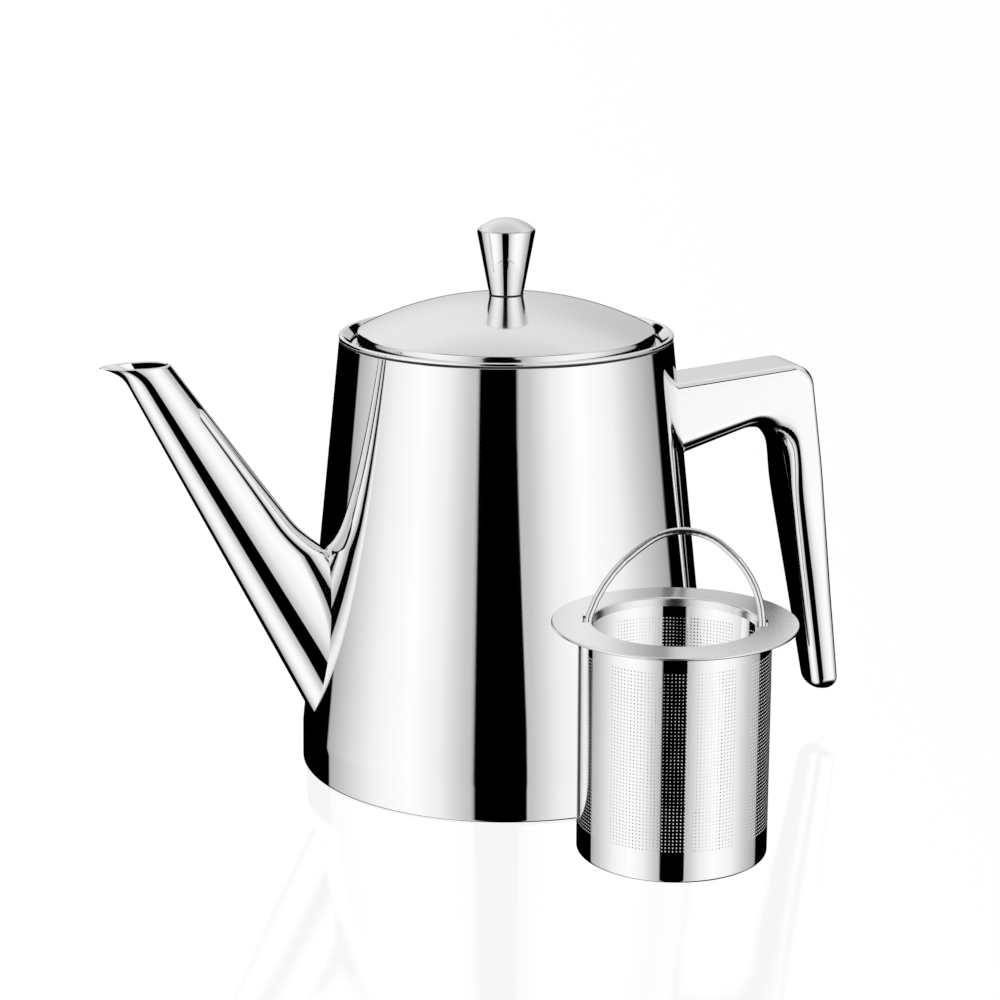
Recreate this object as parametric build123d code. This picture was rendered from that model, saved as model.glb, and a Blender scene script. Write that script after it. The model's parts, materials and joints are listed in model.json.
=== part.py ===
from build123d import *
import math
import os

# Stainless steel teapot with a lift-out tea infuser. Millimetres, +Z up.
# The origin is the centre of the pot's flat underside. The spout points along -X and
# the handle along +X. The infuser stands beside the pot, on the -Y side.

# ---- driving dimensions -------------------------------------------------------------
CUT = 40.0                  # side of the blocks that trim pieces

# Pot body: a conical wall over a nearly straight foot band, closed by a base disc.
SHEET = 0.8                 # sheet thickness of the pot and the lid
FOOT_R = 61.2               # outer radius at the table
FOOT_EDGE_R = 0.7           # rounding where the wall meets the table
FOOT_BLEND_R = 20.0         # soft bend between the foot band and the cone
CONE_LOW_R, CONE_LOW_Z = 61.0, 11.0
CONE_TOP_R, CONE_TOP_Z = 48.5, 126.3
BASE_RIM_H = 7.0            # upturned rim of the base disc, brazed inside the foot band

# Mouth ring: a bead over a fine groove, a funnel, a step for the lid's edge, then a collar.
BEAD_R, BEAD_LOW_Z, BEAD_TOP_Z = 48.6, 127.2, 127.9
BEAD_T = 1.2
GROOVE_R, GROOVE_Z = 48.15, 126.7
FUNNEL_R, FUNNEL_Z = 45.3, 125.6
FUNNEL_UNDER_Z = 125.3
LEDGE_Z = 124.3             # the lid's edge rests here
COLLAR_R = 40.5             # inner radius of the collar
SEAT_Z = 112.2              # the infuser's flange hangs here
SEAT_HOLE_R = 27.6
SEAT_RIM_H = 3.0
SEAT_LIP_H = 3.4

# Lid: a spherical dome with a turned-down edge ending in a narrow rim, and a locating ring
# welded under it.
LID_R = 43.3
LID_RIM_R = 44.9
DOME_TOP_Z = 139.2
DOME_SPHERE_R = 94.5
LID_EDGE_ROUND = 1.2
SKIRT_R = 40.0
SKIRT_LOW_Z = 116.0
SKIRT_WELD_R = 35.0         # inner radius of the ring's welding flange

# Knob: a hollow inverted cone under a domed cap, screwed through the dome.
KNOB_LOW_R = 4.9
KNOB_TOP_R, KNOB_TOP_Z = 8.5, 157.8
KNOB_CAP_RISE = 3.5
KNOB_SINK = 1.0             # the cone runs this far below the dome's top before it is fitted
SPIGOT_GAP, SPIGOT_H, SPIGOT_ROOT = 0.35, 1.6, 0.6      # the cap's collar inside the cone
KNOB_BOSS_R, KNOB_BOSS_H = 3.8, 12.0
SCREW_R, SCREW_HEAD_R, SCREW_HEAD_H = 2.0, 3.6, 2.4
SCREW_REACH = 9.5           # length of the shank above the dome
SCREW_GAP, BORE_SPARE = 0.2, 0.8
CROSS_L, CROSS_W, CROSS_DEEP = 4.2, 1.0, 1.2        # the cross recess in the screw's head
WASHER_R, WASHER_T = 6.0, 0.8

# Spout: a straight oblique tube, tapering from the body to a beaked lip cut level.
SPOUT_WALL = 0.9
SPOUT_RIM_Z = 124.5
SPOUT_FRONT = (-60.2, 17.9)         # the lower line starts here on the body
SPOUT_FRONT_SLOPE = -0.499          # x per z
SPOUT_BACK = (-98.7, 124.5)         # the upper line ends here at the rim
SPOUT_BACK_SLOPE = -0.705
SPOUT_LIP = 4.3                     # how far the lip reaches out past the lower line
SPOUT_LIP_LOW_Z = 117.0             # the lip begins to curl out here
SPOUT_FLARE, SPOUT_FLARE_H = 3.2, 10.0      # the upper line's bend into the body
SPOUT_FLARE_TOP_Z = 78.0
SPOUT_HALF_W_RIM, SPOUT_HALF_W_ROOT = 5.9, 10.4
SPOUT_ROOT_Z = 40.0                 # the tube is widest at this height
SPOUT_LOW_Z = 16.0                  # the tube starts here, inside the pot

# Handle: two pressed halves welded on the middle plane, fixed at the top only.
HANDLE_WALL = 1.0
HANDLE_SIDE = [(44, 110.6), (93.4, 115.1), (107.8, 9.7), (99.3, 9.7), (83.8, 98.8), (44, 86.1)]
HANDLE_SIDE_ROUNDS = [0, 6.5, 3.8, 3.8, 11.0, 0]
HANDLE_FRONT = [(-10.7, 120), (-11.1, 82), (-6.6, 9.7), (6.6, 9.7), (11.1, 82), (10.7, 120)]
HANDLE_FRONT_ROUNDS = [0, 40, 0, 0, 40, 0]
HANDLE_EDGE_ROUND = 3.0     # along both sides, all the way round the tip
HANDLE_ROOT_X = 46.0        # the outline runs on inside the pot up to here, unrounded
SADDLE_T = 1.2

# Infuser: where it stands beside the pot and how far it is turned.
INFUSER_X, INFUSER_Y = 18.4, -88.3
INFUSER_TURN = -22.4        # degrees about its own axis, to the line of the bail's feet
BASKET_SHEET = 0.5
BASKET_R, BASKET_H = 25.85, 63.2
BASKET_LIP = 1.4            # turned-in lip at the foot of the basket
FLOOR_Z, FLOOR_RIM_H = 1.2, 5.0
FLANGE_R, FLANGE_HOLE_R, FLANGE_T = 33.0, 22.2, 0.8
FLANGE_LIP_H, FLANGE_LIP_T = 1.6, 0.6

# Bail: a round wire sprung into two eyes inside the basket, leaning on its slots' ends.
WIRE_R = 1.0
PIVOT_Z = 60.8
BAIL_HALF_W = 23.1
BAIL_PIN_END = 25.1
BAIL_LEG_H = 3.2
BAIL_ARCH = [(-19.4, 15.0), (2.5, 32.4), (22.6, 14.8)]
BAIL_ARCH_ROUNDS = [36.0, 16.0, 26.0]
BAIL_FOOT_ROUND = 8.0
BAIL_LEAN = 25.0            # degrees back from upright, away from the open side
SLOT_HALF_W, SLOT_INNER_R, SLOT_END_R = 3.1, 21.2, 24.7
EYE_R, EYE_GAP = 2.2, 0.06
EYE_INNER_U, EYE_OUTER_U = 24.3, 25.2


# ---- helpers ------------------------------------------------------------------------
def revolved(points, rounds=None):
    """A closed (radius, height) outline, spun about the Z axis."""
    outline = [Vector(r, 0, z) for r, z in points]
    if rounds is None:
        wire = Polyline(*outline, close=True)
    else:
        wire = FilletPolyline(*outline, radius=rounds, close=True)
    return revolve(make_face(wire), axis=Axis.Z)


def tube(r_out, r_in, z_low, z_high):
    """An upright ring."""
    return revolved([(r_in, z_low), (r_out, z_low), (r_out, z_high), (r_in, z_high)])


def cone_r(z):
    """Outer radius of the conical wall at height z."""
    share = (z - CONE_LOW_Z) / (CONE_TOP_Z - CONE_LOW_Z)
    return CONE_LOW_R + (CONE_TOP_R - CONE_LOW_R) * share


def dome_ball(radius):
    """A ball concentric with the lid's dome."""
    return Pos(0, 0, DOME_TOP_Z - DOME_SPHERE_R) * Sphere(radius)


def save(shape, node, colour):
    """Write one piece as its own STEP file."""
    shape.label = node
    shape.color = Color(*colour)
    export_step(shape, f"parts/{node}.step")


# ---- pot body -----------------------------------------------------------------------
def body_envelope():
    """The pot's outer shape as a solid, used to end the spout and the handle on it."""
    return revolved([(0, -5), (FOOT_R, -5), (FOOT_R, 0), (CONE_LOW_R, CONE_LOW_Z),
                     (CONE_TOP_R, CONE_TOP_Z), (0, CONE_TOP_Z)])


def pot_body():
    wall = revolved(
        [(FOOT_R - SHEET, 0), (FOOT_R, 0), (CONE_LOW_R, CONE_LOW_Z), (CONE_TOP_R, CONE_TOP_Z),
         (CONE_TOP_R - SHEET, CONE_TOP_Z), (CONE_LOW_R - SHEET, CONE_LOW_Z)],
        [0, FOOT_EDGE_R, FOOT_BLEND_R, 0, 0, FOOT_BLEND_R])
    return wall - spout_tube(SPOUT_WALL)


def base_disc():
    rim_r = FOOT_R - SHEET
    rim_top_r = rim_r - (FOOT_R - CONE_LOW_R) * BASE_RIM_H / CONE_LOW_Z
    return revolved(
        [(0, 0), (rim_r, 0), (rim_top_r, BASE_RIM_H), (rim_top_r - SHEET, BASE_RIM_H),
         (rim_r - SHEET, SHEET), (0, SHEET)],
        [0, 0.2, 0, 0, 1.0, 0])


def mouth_ring():
    wall_r = COLLAR_R + SHEET
    return revolved(
        [(CONE_TOP_R - SHEET, CONE_TOP_Z), (CONE_TOP_R, CONE_TOP_Z), (GROOVE_R, GROOVE_Z),
         (BEAD_R, BEAD_LOW_Z), (BEAD_R, BEAD_TOP_Z), (BEAD_R - BEAD_T, BEAD_TOP_Z),
         (FUNNEL_R, FUNNEL_Z), (FUNNEL_R, LEDGE_Z), (COLLAR_R, LEDGE_Z),
         (COLLAR_R, SEAT_Z - SHEET), (wall_r, SEAT_Z - SHEET), (wall_r, LEDGE_Z - SHEET),
         (FUNNEL_R + SHEET, LEDGE_Z - SHEET), (FUNNEL_R + SHEET, FUNNEL_UNDER_Z)],
        [0, 0, 0.1, 0.2, 0.5, 0.5, 0.5, 0.3, 0.6, 0, 0, 0.3, 0.4, 0.3])


def seat_ring():
    return revolved(
        [(SEAT_HOLE_R, SEAT_Z - SEAT_LIP_H), (SEAT_HOLE_R + SHEET, SEAT_Z - SEAT_LIP_H),
         (SEAT_HOLE_R + SHEET, SEAT_Z - SHEET), (COLLAR_R, SEAT_Z - SHEET),
         (COLLAR_R, SEAT_Z + SEAT_RIM_H), (COLLAR_R - SHEET, SEAT_Z + SEAT_RIM_H),
         (COLLAR_R - SHEET, SEAT_Z), (SEAT_HOLE_R, SEAT_Z)],
        [0, 0, 0.4, 0, 0, 0, 0.4, 0.7])


# ---- spout --------------------------------------------------------------------------
def evenly(low, high, count):
    """Heights at equal steps from low to high."""
    return [low + (high - low) * i / (count - 1) for i in range(count)]


def spout_lip(z):
    """How far the lip curls out past the straight lower line at height z."""
    share = max(0.0, (z - SPOUT_LIP_LOW_Z) / (SPOUT_RIM_Z - SPOUT_LIP_LOW_Z))
    return SPOUT_LIP * share ** 7


def spout_flare(z):
    """How far the upper line bends in towards the pot just above the joint."""
    share = min(1.0, max(0.0, (SPOUT_FLARE_TOP_Z - z) / SPOUT_FLARE_H))
    return SPOUT_FLARE * share ** 2


def spout_section(z, inset):
    """One level slice of the spout: two half ellipses that meet at its middle."""
    slant_front = inset * math.hypot(1, SPOUT_FRONT_SLOPE)
    slant_back = inset * math.hypot(1, SPOUT_BACK_SLOPE)
    front = SPOUT_FRONT[0] + SPOUT_FRONT_SLOPE * (z - SPOUT_FRONT[1])
    back = SPOUT_BACK[0] + SPOUT_BACK_SLOPE * (z - SPOUT_BACK[1])
    middle = (front + back) / 2
    front_l = middle - front + spout_lip(z) - slant_front
    back_l = back + spout_flare(z) - middle - slant_back
    share = min(1.0, (SPOUT_RIM_Z - z) / (SPOUT_RIM_Z - SPOUT_ROOT_Z))
    half_w = SPOUT_HALF_W_RIM + (SPOUT_HALF_W_ROOT - SPOUT_HALF_W_RIM) * share - inset
    front_arc = EllipticalCenterArc((middle, 0), front_l, half_w, 90, arc_size=180)
    back_arc = EllipticalCenterArc((middle, 0), back_l, half_w, 270, arc_size=180)
    return Pos(0, 0, z) * make_face(front_arc + back_arc)


def spout_tube(inset):
    """The whole tube, its skin moved in by inset, from inside the pot to past the rim."""
    straight = loft([spout_section(z, inset) for z in evenly(SPOUT_LOW_Z, SPOUT_LIP_LOW_Z, 15)])
    lip = loft([spout_section(z, inset) for z in evenly(SPOUT_LIP_LOW_Z, SPOUT_RIM_Z + 1, 7)])
    return straight + lip


def spout():
    above_rim = Pos(SPOUT_BACK[0], 0, SPOUT_RIM_Z + CUT / 2) * Box(2 * CUT, CUT, CUT)
    return spout_tube(0) - spout_tube(SPOUT_WALL) - above_rim - body_envelope()


# ---- handle -------------------------------------------------------------------------
def handle_block(inset, edge_round=0.0):
    """The handle as a solid: its side outline crossed with its front outline, with the
    edges of its two flat sides rounded."""
    side = make_face(FilletPolyline(*[Vector(x, 0, z) for x, z in HANDLE_SIDE],
                                    radius=HANDLE_SIDE_ROUNDS, close=True))
    front = make_face(FilletPolyline(*[Vector(0, y, z) for y, z in HANDLE_FRONT],
                                     radius=HANDLE_FRONT_ROUNDS, close=True))
    if inset:
        side = offset(side, amount=-inset)
        front = offset(front, amount=-inset)
    block = extrude(side, amount=CUT, dir=(0, 1, 0), both=True)
    block &= extrude(front, amount=4 * CUT, dir=(1, 0, 0))
    if edge_round:
        sides = block.faces().filter_by(lambda face: abs(face.normal_at().Y) > 0.9)
        edges = [edge for face in sides for edge in face.edges()]
        outer = [edge for edge in edges if edge.center().X > HANDLE_ROOT_X
                 and sum(edge.is_same(other) for other in edges) == 1]
        block = fillet(outer, edge_round)
    return block


def handle_hollow():
    return handle_block(HANDLE_WALL, HANDLE_EDGE_ROUND - HANDLE_WALL)


def handle_half(side):
    """The half on the +Y (side 1) or -Y (side -1) of the middle plane."""
    shell = handle_block(0, HANDLE_EDGE_ROUND) - handle_hollow() - body_envelope()
    keep = Pos(2 * CUT, side * 2 * CUT, 2 * CUT) * Box(4 * CUT, 4 * CUT, 4 * CUT)
    return shell & keep


def handle_saddle():
    """The plate inside the hollow root, following the pot's wall."""
    plate = Pos(SADDLE_T, 0, 0) * body_envelope() - body_envelope()
    return plate & handle_hollow()


# ---- lid ----------------------------------------------------------------------------
def dome_z(r, radius=DOME_SPHERE_R):
    return DOME_TOP_Z - DOME_SPHERE_R + math.sqrt(radius ** 2 - r ** 2)


def screw_hole():
    """Clearance for the knob's screw, through the dome and the knob's floor."""
    return Pos(0, 0, DOME_TOP_Z) * Cylinder(SCREW_R + SCREW_GAP, CUT / 2)


def dome_solid(rim_r, sphere_r, edge_round):
    """Solid under the dome, down to the ledge, with its upper edge rounded."""
    drum = revolved([(0, LEDGE_Z), (rim_r, LEDGE_Z), (rim_r, DOME_TOP_Z), (0, DOME_TOP_Z)])
    solid = drum & dome_ball(sphere_r)
    circles = solid.edges().filter_by(GeomType.CIRCLE)
    rim = circles.filter_by(lambda edge: abs(edge.radius - rim_r) < 0.01).sort_by(Axis.Z)[-1]
    return fillet(rim, edge_round)


def lid_dome():
    skin = dome_solid(LID_R, DOME_SPHERE_R, LID_EDGE_ROUND)
    hollow = dome_solid(LID_R - SHEET, DOME_SPHERE_R - SHEET, LID_EDGE_ROUND - 0.4)
    rim = revolved([(LID_R - SHEET, LEDGE_Z), (LID_RIM_R, LEDGE_Z), (LID_RIM_R, LEDGE_Z + SHEET),
                    (LID_R - SHEET, LEDGE_Z + SHEET)], [0, 0.3, 0.3, 0])
    return skin - hollow + rim - screw_hole()


def lid_ring():
    ball = dome_ball(DOME_SPHERE_R - SHEET)
    skirt = tube(SKIRT_R, SKIRT_R - SHEET, SKIRT_LOW_Z, DOME_TOP_Z) & ball
    weld = tube(SKIRT_R - SHEET, SKIRT_WELD_R, SKIRT_LOW_Z, DOME_TOP_Z)
    weld = (weld & ball) - dome_ball(DOME_SPHERE_R - 2 * SHEET)
    return skirt + weld


def knob_outline(inset):
    """Solid inverted cone, its side moved in by inset."""
    low = DOME_TOP_Z - KNOB_SINK
    return revolved([(0, low), (KNOB_LOW_R - inset, low), (KNOB_TOP_R - inset, KNOB_TOP_Z),
                     (0, KNOB_TOP_Z)])


def knob_shell():
    floor_z = DOME_TOP_Z + SHEET
    hollow = knob_outline(SHEET) & Pos(0, 0, floor_z + CUT / 2) * Box(CUT, CUT, CUT)
    return knob_outline(0) - dome_ball(DOME_SPHERE_R) - hollow - screw_hole()


def knob_cap():
    cap_r = (KNOB_TOP_R ** 2 + KNOB_CAP_RISE ** 2) / (2 * KNOB_CAP_RISE)
    centre_z = KNOB_TOP_Z + KNOB_CAP_RISE - cap_r
    above = Pos(0, 0, KNOB_TOP_Z + CUT / 2) * Box(CUT, CUT, CUT)
    skin = Pos(0, 0, centre_z) * Sphere(cap_r) - Pos(0, 0, centre_z) * Sphere(cap_r - SHEET)
    spigot_r = KNOB_TOP_R - SHEET - SPIGOT_GAP
    spigot = tube(spigot_r, spigot_r - SHEET, KNOB_TOP_Z - SPIGOT_H, KNOB_TOP_Z + SPIGOT_ROOT)
    return (skin & above) + (spigot & Pos(0, 0, centre_z) * Sphere(cap_r - SHEET / 2))


def knob_boss():
    low = DOME_TOP_Z + SHEET
    boss = Pos(0, 0, low + KNOB_BOSS_H / 2) * Cylinder(KNOB_BOSS_R, KNOB_BOSS_H)
    bore_h = SCREW_REACH + BORE_SPARE
    return boss - Pos(0, 0, DOME_TOP_Z + bore_h / 2) * Cylinder(SCREW_R, bore_h)


def washer_top_z():
    return dome_z(WASHER_R, DOME_SPHERE_R - SHEET)


def knob_washer():
    return tube(WASHER_R, SCREW_R + SCREW_GAP, washer_top_z() - WASHER_T, washer_top_z())


def knob_screw():
    head_top = washer_top_z() - WASHER_T
    head = revolved([(0, head_top), (SCREW_HEAD_R, head_top),
                     (SCREW_HEAD_R, head_top - SCREW_HEAD_H), (0, head_top - SCREW_HEAD_H)],
                    [0, 0, 1.0, 0])
    shank_h = DOME_TOP_Z + SCREW_REACH - head_top
    shank = Pos(0, 0, head_top + shank_h / 2) * Cylinder(SCREW_R, shank_h)
    cross = Box(CROSS_L, CROSS_W, 2 * CROSS_DEEP) + Box(CROSS_W, CROSS_L, 2 * CROSS_DEEP)
    return head + shank - Pos(0, 0, head_top - SCREW_HEAD_H) * cross


# ---- infuser ------------------------------------------------------------------------
def stand_beside(shape):
    """Put a piece of the infuser, drawn on the origin, where it stands."""
    return Pos(INFUSER_X, INFUSER_Y, 0) * Rot(0, 0, INFUSER_TURN) * shape


def basket_wall():
    inner = BASKET_R - BASKET_SHEET
    return revolved(
        [(BASKET_R, 0), (BASKET_R, BASKET_H), (inner, BASKET_H), (inner, BASKET_SHEET),
         (BASKET_R - BASKET_LIP, BASKET_SHEET), (BASKET_R - BASKET_LIP, 0)],
        [0.7, 0, 0, 0.2, 0, 0])


def basket_floor():
    rim_r = BASKET_R - BASKET_SHEET
    return revolved(
        [(0, FLOOR_Z), (rim_r, FLOOR_Z), (rim_r, FLOOR_Z + FLOOR_RIM_H),
         (rim_r - BASKET_SHEET, FLOOR_Z + FLOOR_RIM_H),
         (rim_r - BASKET_SHEET, FLOOR_Z + BASKET_SHEET), (0, FLOOR_Z + BASKET_SHEET)],
        [0, 0.8, 0, 0, 0.4, 0])


def basket_flange():
    top = BASKET_H + FLANGE_T
    ring = revolved(
        [(FLANGE_HOLE_R, BASKET_H - FLANGE_LIP_H),
         (FLANGE_HOLE_R + FLANGE_LIP_T, BASKET_H - FLANGE_LIP_H),
         (FLANGE_HOLE_R + FLANGE_LIP_T, BASKET_H), (FLANGE_R, BASKET_H), (FLANGE_R, top),
         (FLANGE_HOLE_R, top)],
        [0, 0, 0.4, 0.3, 0.3, 0.7])
    slot_mid = (SLOT_INNER_R + SLOT_END_R) / 2
    for side in (1, -1):
        slot = Box(SLOT_END_R - SLOT_INNER_R, 2 * SLOT_HALF_W, CUT / 4)
        ring -= Pos(side * slot_mid, 0, BASKET_H) * slot
    return ring


def bail():
    arch = [(-BAIL_HALF_W, 0), (-BAIL_HALF_W, BAIL_LEG_H), *BAIL_ARCH,
            (BAIL_HALF_W, BAIL_LEG_H), (BAIL_HALF_W, 0)]
    path = FilletPolyline(*[Vector(u, 0, v) for u, v in arch],
                          radius=[BAIL_FOOT_ROUND, *BAIL_ARCH_ROUNDS, BAIL_FOOT_ROUND])
    section = Plane(origin=path @ 0, z_dir=path % 0) * Circle(WIRE_R)
    wire = sweep(section, path=path)
    pin_l = BAIL_PIN_END - BAIL_HALF_W
    for side in (1, -1):
        wire += Pos(side * BAIL_HALF_W, 0, 0) * Sphere(WIRE_R)
        wire += Pos(side * (BAIL_HALF_W + pin_l / 2), 0, 0) * Rot(0, 90, 0) * Cylinder(WIRE_R, pin_l)
    return Pos(0, 0, PIVOT_Z) * Rot(-BAIL_LEAN, 0, 0) * wire


def bail_eye(side):
    thick = EYE_OUTER_U - EYE_INNER_U
    eye = Cylinder(EYE_R, thick) - Cylinder(WIRE_R + EYE_GAP, thick)
    return Pos(side * (EYE_INNER_U + thick / 2), 0, PIVOT_Z) * Rot(0, 90, 0) * eye


# ---- write every piece --------------------------------------------------------------
MIRROR = (0.86, 0.86, 0.87)
SATIN = (0.72, 0.72, 0.73)
INSIDE = (0.60, 0.60, 0.61)

os.makedirs("parts", exist_ok=True)
save(pot_body(), "pot_body", MIRROR)
save(base_disc(), "base_disc", SATIN)
save(mouth_ring(), "mouth_ring", MIRROR)
save(seat_ring(), "seat_ring", INSIDE)
save(spout(), "spout", MIRROR)
save(handle_half(1), "handle_half_left", MIRROR)
save(handle_half(-1), "handle_half_right", MIRROR)
save(handle_saddle(), "handle_saddle", INSIDE)
save(lid_dome(), "lid_dome", SATIN)
save(lid_ring(), "lid_ring", SATIN)
save(knob_shell(), "knob_shell", MIRROR)
save(knob_cap(), "knob_cap", SATIN)
save(knob_boss(), "knob_boss", INSIDE)
save(knob_screw(), "knob_screw", INSIDE)
save(knob_washer(), "knob_washer", INSIDE)
save(stand_beside(basket_wall()), "basket_wall", MIRROR)
save(stand_beside(basket_floor()), "basket_floor", MIRROR)
save(stand_beside(basket_flange()), "basket_flange", SATIN)
save(stand_beside(bail()), "bail", SATIN)
save(stand_beside(bail_eye(1)), "bail_eye_right", INSIDE)
save(stand_beside(bail_eye(-1)), "bail_eye_left", INSIDE)
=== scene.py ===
import json
import math
import bpy
import numpy as np
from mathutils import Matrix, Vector


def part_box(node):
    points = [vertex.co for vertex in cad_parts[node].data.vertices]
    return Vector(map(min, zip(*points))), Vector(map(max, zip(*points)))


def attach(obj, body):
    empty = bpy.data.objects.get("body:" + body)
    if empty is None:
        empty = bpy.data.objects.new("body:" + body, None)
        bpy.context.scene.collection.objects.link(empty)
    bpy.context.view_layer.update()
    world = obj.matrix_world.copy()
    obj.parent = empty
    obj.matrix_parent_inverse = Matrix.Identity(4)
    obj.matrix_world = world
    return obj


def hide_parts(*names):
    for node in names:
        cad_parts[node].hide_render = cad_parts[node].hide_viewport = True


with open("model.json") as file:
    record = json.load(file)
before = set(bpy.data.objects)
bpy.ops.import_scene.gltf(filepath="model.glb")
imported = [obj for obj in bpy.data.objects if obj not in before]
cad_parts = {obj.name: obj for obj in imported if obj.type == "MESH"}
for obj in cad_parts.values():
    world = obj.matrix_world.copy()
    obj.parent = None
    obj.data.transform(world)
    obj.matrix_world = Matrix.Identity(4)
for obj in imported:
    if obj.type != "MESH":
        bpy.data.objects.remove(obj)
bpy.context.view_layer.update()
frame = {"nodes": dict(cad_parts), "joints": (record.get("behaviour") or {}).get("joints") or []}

# Looks of a stainless steel teapot and its infuser. Lengths below are in millimetres in the
# model's own frame, and every mesh is scaled to metres as it is made.
MM = 0.001

# ---- sizes, the same as the CAD's ----------------------------------------------------
SHEET = 0.8
CONE_LOW_R, CONE_LOW_Z = 61.0, 11.0
FOOT_EDGE_R, FOOT_BLEND_R = 0.7, 20.0
BASE_RIM_H, BASE_RIM_LEAN = 7.0, 0.127
BEAD_LOW_Z, BEAD_T = 127.2, 1.2
GROOVE_R, GROOVE_Z = 48.15, 126.7
FUNNEL_R, FUNNEL_Z, FUNNEL_UNDER_Z = 45.3, 125.6, 125.3
COLLAR_R, SEAT_Z = 40.5, 112.2
SEAT_HOLE_R, SEAT_LIP_H, SEAT_RIM_H = 27.6, 3.4, 3.0
SHARP_DEG = 28.0            # edges sharper than this stay sharp in shading
SPOUT_WALL = 0.9
SPOUT_FRONT, SPOUT_FRONT_SLOPE = (-60.2, 17.9), -0.499
SPOUT_BACK, SPOUT_BACK_SLOPE = (-98.7, 124.5), -0.705
SPOUT_LIP, SPOUT_LIP_LOW_Z, SPOUT_LIP_CURL = 5.0, 117.0, 4
SPOUT_EDGE_H = 0.3          # height of the rounding on the spout's rim
SPOUT_FLARE, SPOUT_FLARE_H, SPOUT_FLARE_TOP_Z = 3.2, 10.0, 78.0
SPOUT_HALF_W_RIM, SPOUT_HALF_W_ROOT, SPOUT_ROOT_Z = 5.9, 10.4, 40.0
DOME_TOP_Z, DOME_SPHERE_R = 139.2, 94.5
LID_RIM = 1.6               # how far the rim stands out from the lid's edge
LID_EDGE_ROUND, LID_EDGE_ROUND_IN = 1.2, 0.8
SKIRT_R, SKIRT_LOW_Z, SKIRT_WELD_R = 40.0, 116.0, 35.0
SCREW_HOLE_R = 2.2
KNOB_LOW_R = 4.9
BASKET_SHEET, BASKET_LIP = 0.5, 1.4
FLANGE_HOLE_R, FLANGE_LIP_H, FLANGE_LIP_T = 22.2, 1.6, 0.6
SLOT_HALF_W, SLOT_INNER_R, SLOT_END_R = 3.1, 21.2, 24.7
WIRE_R = 1.0
BAIL_LEAN = 25.0
EYE_BORE_R, EYE_R, EYE_INNER_U, EYE_OUTER_U = 1.06, 2.2, 24.3, 25.2

# ---- sizes and places read from the frame --------------------------------------------


def node_box(node):
    """Lowest and highest corner of a CAD node, in millimetres."""
    low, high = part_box(node)
    return np.array(low) / MM, np.array(high) / MM


FOOT_R = node_box("pot_body")[1][1]
CONE_TOP_Z = node_box("pot_body")[1][2]
BEAD_R = node_box("mouth_ring")[1][1]
BEAD_TOP_Z = node_box("mouth_ring")[1][2]
CONE_TOP_R = BEAD_R - 0.1
SPOUT_RIM_Z = node_box("spout")[1][2]
LID_RIM_R = node_box("lid_dome")[1][1]
LID_R = LID_RIM_R - LID_RIM
LEDGE_Z = node_box("lid_dome")[0][2]
BASKET_LOW, BASKET_HIGH = node_box("basket_wall")
BASKET_R = (BASKET_HIGH[0] - BASKET_LOW[0]) / 2
BASKET_CENTRE = (BASKET_LOW + BASKET_HIGH) / 2
BASKET_H = BASKET_HIGH[2]
FLANGE_R = (node_box("basket_flange")[1][0] - node_box("basket_flange")[0][0]) / 2
JOINTS = {joint["name"]: joint for joint in frame["joints"]}
BAIL_AXIS = JOINTS["bail_swing"]["axis"]
PIVOT_Z = JOINTS["bail_swing"]["pos_m"][2] / MM
INFUSER_TURN = math.atan2(BAIL_AXIS[1], BAIL_AXIS[0])


# ---- mesh helpers --------------------------------------------------------------------
def arc_points(corner, before, after, radius, step_deg=7.0):
    """The arc of a given radius that rounds a corner between its two neighbours."""
    corner, before, after = (np.array(p, float) for p in (corner, before, after))
    a, b = before - corner, after - corner
    a, b = a / np.linalg.norm(a), b / np.linalg.norm(b)
    half = math.acos(np.clip(a @ b, -1, 1)) / 2
    reach = radius / math.tan(half)
    middle = a + b
    centre = corner + middle / np.linalg.norm(middle) * radius / math.sin(half)
    start, end = corner + a * reach - centre, corner + b * reach - centre
    turn = math.atan2(start[0] * end[1] - start[1] * end[0], start @ end)
    count = max(3, math.ceil(abs(math.degrees(turn)) / step_deg))
    angles = np.linspace(0, turn, count + 1)
    return [centre + np.array([start[0] * math.cos(t) - start[1] * math.sin(t),
                               start[0] * math.sin(t) + start[1] * math.cos(t)]) for t in angles]


GUARDED_RUN, GUARD = 1.2, 0.25      # straight runs longer than this get a point near each end


def rounded(points, radii, closed=True):
    """A run of straight lines with rounded corners. Extra points beside each corner keep the
    long faces flat in shading."""
    path, n = [], len(points)
    for i, (point, radius) in enumerate(zip(points, radii)):
        inner = closed or 0 < i < n - 1
        if inner and radius > 0:
            path += arc_points(point, points[i - 1], points[(i + 1) % n], radius)
        else:
            path.append(np.array(point, float))
    guarded = []
    pairs = zip(path, path[1:] + path[:1]) if closed else zip(path, path[1:])
    for p, q in pairs:
        guarded.append(p)
        run = np.linalg.norm(q - p)
        if run > GUARDED_RUN:
            along = (q - p) / run
            guarded += [p + along * GUARD, q - along * GUARD]
    if not closed:
        guarded.append(path[-1])
    return guarded


def make_piece(name, verts, faces, sharp_deg=SHARP_DEG):
    """A smooth-shaded mesh object from millimetre points."""
    mesh = bpy.data.meshes.new(name)
    mesh.from_pydata((np.array(verts, float) * MM).tolist(), [], faces)
    mesh.validate()
    mesh.shade_smooth()
    mesh.set_sharp_from_angle(angle=math.radians(sharp_deg))
    piece = bpy.data.objects.new(name, mesh)
    bpy.context.scene.collection.objects.link(piece)
    return piece


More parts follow.
